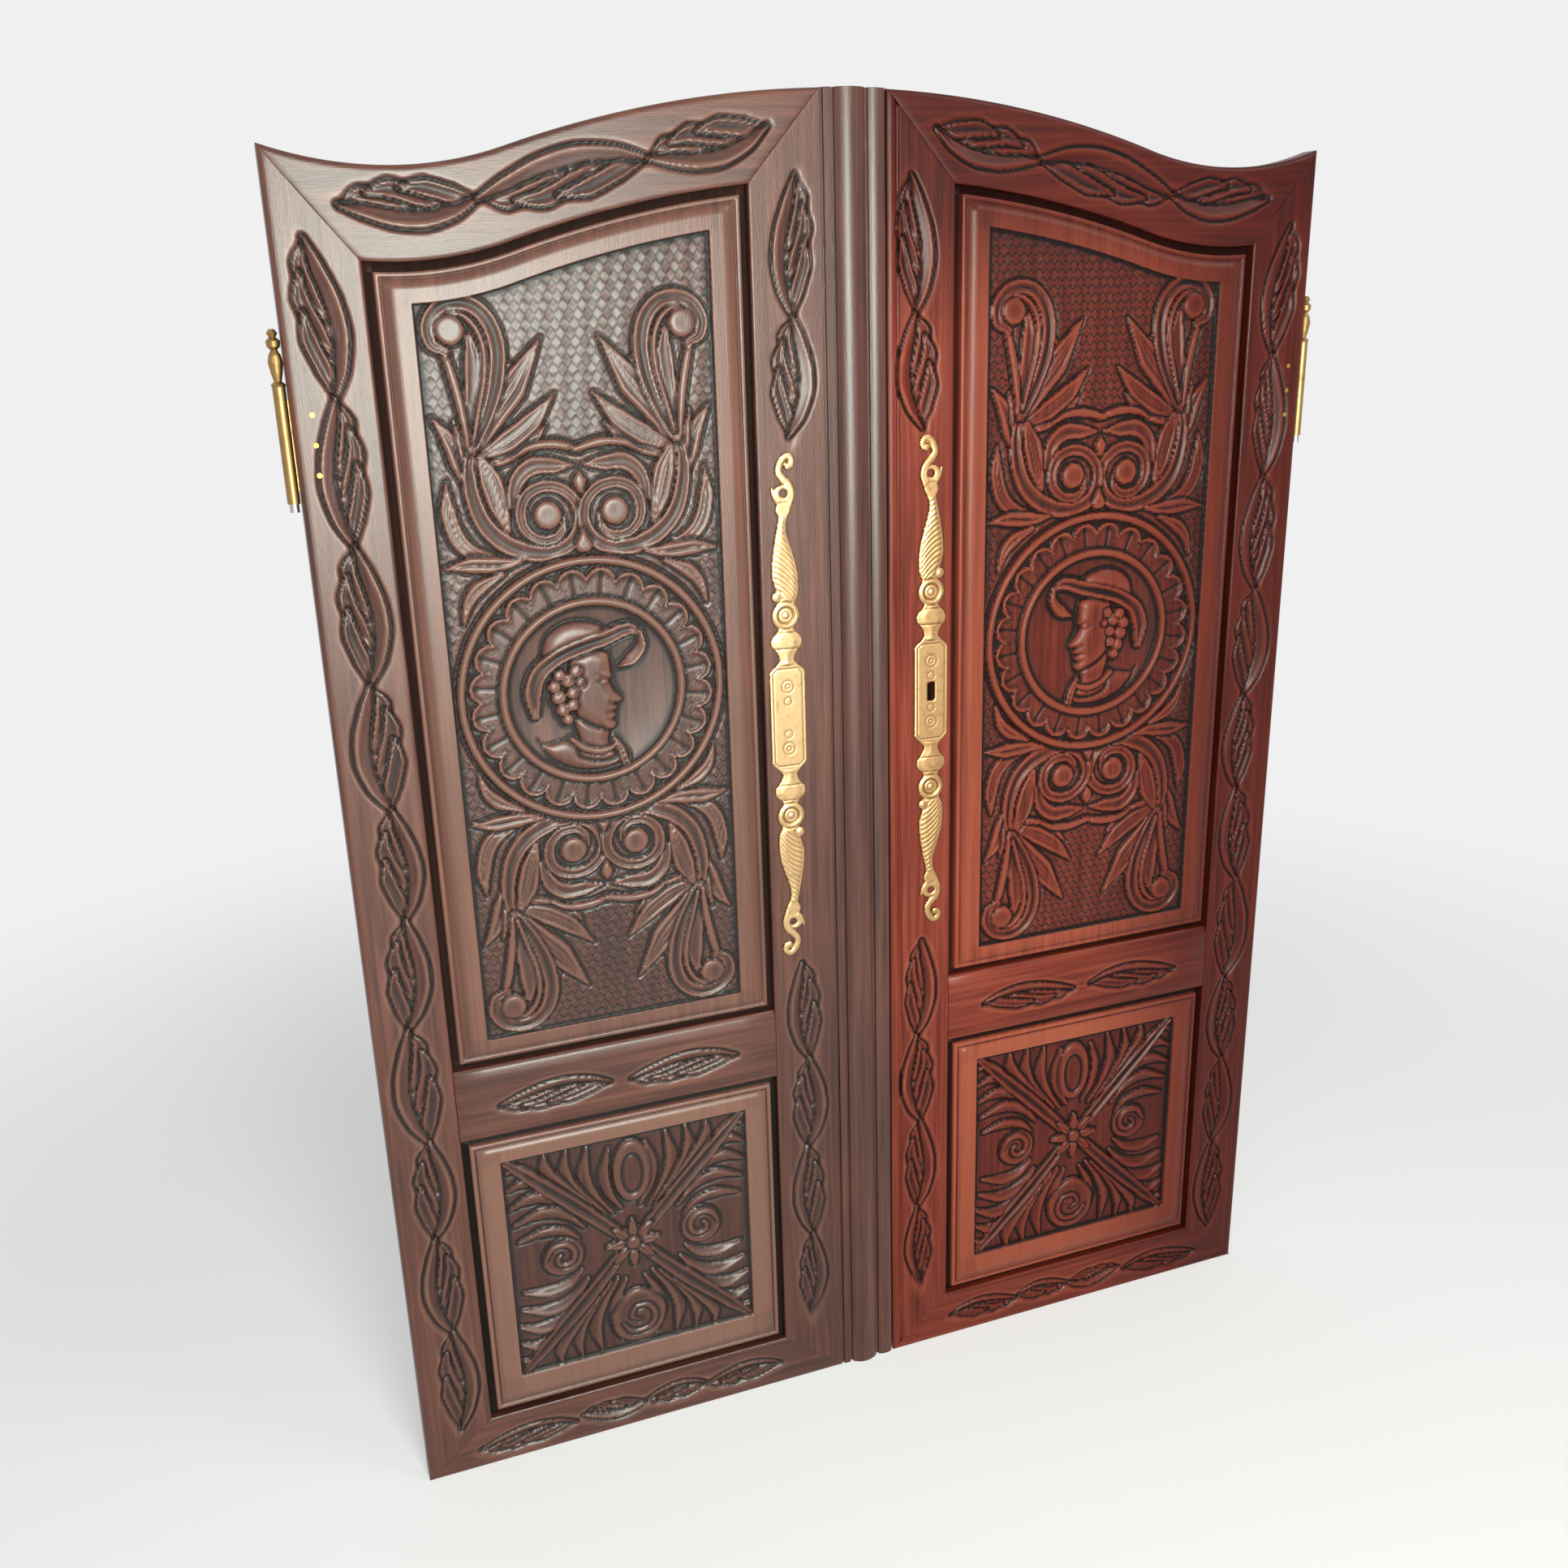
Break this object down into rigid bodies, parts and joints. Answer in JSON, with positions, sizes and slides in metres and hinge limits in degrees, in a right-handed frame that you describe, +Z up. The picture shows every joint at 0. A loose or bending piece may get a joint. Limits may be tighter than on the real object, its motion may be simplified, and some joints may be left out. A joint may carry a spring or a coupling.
{
  "type": "pair of carved wooden wardrobe door leaves",
  "caption": "Pair of arched, carved wooden door leaves with sunk panels, medallions, brass keyhole plates, lift-off hinges and a lock.",
  "frame": {"origin": "middle of the pair at the foot, halfway through its depth", "axes": "+Z up, +X to the right seen from the carved front, the carved front looks along -Y"},
  "size_m": [1.1778, 0.045, 1.54],
  "materials": {
    "carved_walnut": "waxed, glossy",
    "gilt_brass": "cast, pale, satin",
    "hinge_brass": "drawn, polished",
    "aged_brass": "turned, tarnished",
    "bright_steel": "turned",
    "dark_iron": "forged, oiled"
  },
  "bodies": {
    "hinge_pins": {"left_hinge_pin": "bright_steel", "right_hinge_pin": "bright_steel"},
    "left_leaf": {"left_outer_stile": "carved_walnut", "left_inner_stile": "carved_walnut", "left_top_rail": "carved_walnut", "left_mid_rail": "carved_walnut", "left_bottom_rail": "carved_walnut", "left_upper_panel": "carved_walnut", "left_lower_panel": "carved_walnut", "left_escutcheon": "gilt_brass", "left_escutcheon_nails": "gilt_brass", "left_hinge_barrel": "hinge_brass", "left_hinge_finial": "aged_brass", "left_hinge_nails": "bright_steel", "left_meeting_post": "carved_walnut", "lock_keeper": "dark_iron", "keeper_screws": "dark_iron"},
    "right_leaf": {"right_outer_stile": "carved_walnut", "right_inner_stile": "carved_walnut", "right_top_rail": "carved_walnut", "right_mid_rail": "carved_walnut", "right_bottom_rail": "carved_walnut", "right_upper_panel": "carved_walnut", "right_lower_panel": "carved_walnut", "right_escutcheon": "gilt_brass", "right_escutcheon_nails": "gilt_brass", "right_hinge_barrel": "hinge_brass", "right_hinge_finial": "aged_brass", "right_hinge_nails": "bright_steel", "lock_case": "dark_iron", "lock_guide": "dark_iron", "lock_screws": "dark_iron"},
    "bolt": {"lock_bolt": "dark_iron"}
  },
  "joints": [
    {"name": "left_leaf_swing", "type": "hinge", "parent": "hinge_pins", "child": "left_leaf", "pos_m": [-0.582, -0.0065, 1.2], "axis": [0, 0, -1], "range_deg": [0, 110]},
    {"name": "right_leaf_swing", "type": "hinge", "parent": "hinge_pins", "child": "right_leaf", "pos_m": [0.582, -0.0065, 1.2], "axis": [0, 0, 1], "range_deg": [0, 110]},
    {"name": "bolt_throw", "type": "slide", "parent": "right_leaf", "child": "bolt", "axis": [-1, 0, 0], "range_m": [0, 0.014]}
  ]
}
